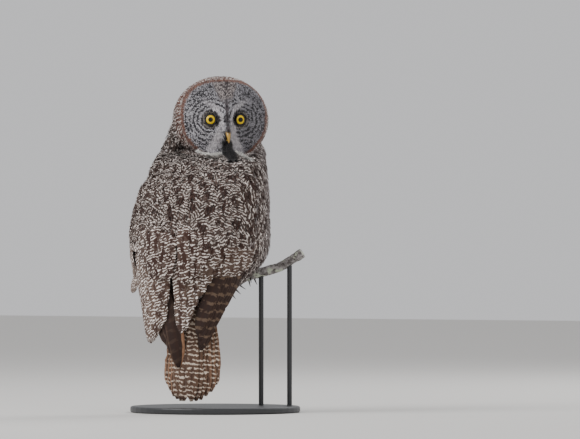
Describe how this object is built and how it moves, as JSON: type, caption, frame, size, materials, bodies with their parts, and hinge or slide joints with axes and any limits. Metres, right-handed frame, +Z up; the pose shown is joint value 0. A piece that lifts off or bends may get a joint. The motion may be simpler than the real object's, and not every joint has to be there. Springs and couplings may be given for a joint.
{
  "type": "great grey owl model on a branch perch and stand",
  "caption": "Life-size still great grey owl gripping a short cut branch, head turned back over its right shoulder, on a plain round display stand.",
  "frame": {"origin": "centre of the underside of the round base", "axes": "+Z up; the owl's body faces +Y and its right side is +X; the head looks back towards +X -Y"},
  "size_m": [0.34, 0.34, 0.6716],
  "materials": {
    "head_feathers": "soft grey feathers with dark rings, matte",
    "body_feathers": "soft grey-brown feathers with wavy pale bars, matte",
    "flight_feathers": "barred brown flight feathers with rusty edges, slight sheen",
    "leg_feathers": "short pale grey down, matte",
    "eye": "yellow iris and black pupil under a clear glossy cornea",
    "bill_horn": "yellow horn, satin",
    "claw_horn": "dark horn, satin",
    "bark": "weathered grey bark with pale crusts of lichen",
    "stand_paint": "satin dark grey paint"
  },
  "bodies": {
    "root": {"head": "head_feathers", "neck": "body_feathers", "torso": "body_feathers", "wing_left": "flight_feathers", "wing_right": "flight_feathers", "tail": "flight_feathers", "eye_left": "eye", "eye_right": "eye", "bill_upper": "bill_horn", "bill_lower": "bill_horn", "leg_left": "leg_feathers", "leg_right": "leg_feathers", "foot_left": "leg_feathers", "foot_right": "leg_feathers", "claw_left_1": "claw_horn", "claw_left_2": "claw_horn", "claw_left_3": "claw_horn", "claw_left_4": "claw_horn", "claw_right_1": "claw_horn", "claw_right_2": "claw_horn", "claw_right_3": "claw_horn", "claw_right_4": "claw_horn", "perch": "bark", "stand_base": "stand_paint", "stand_rod_1": "stand_paint", "stand_rod_2": "stand_paint"}
  },
  "joints": []
}
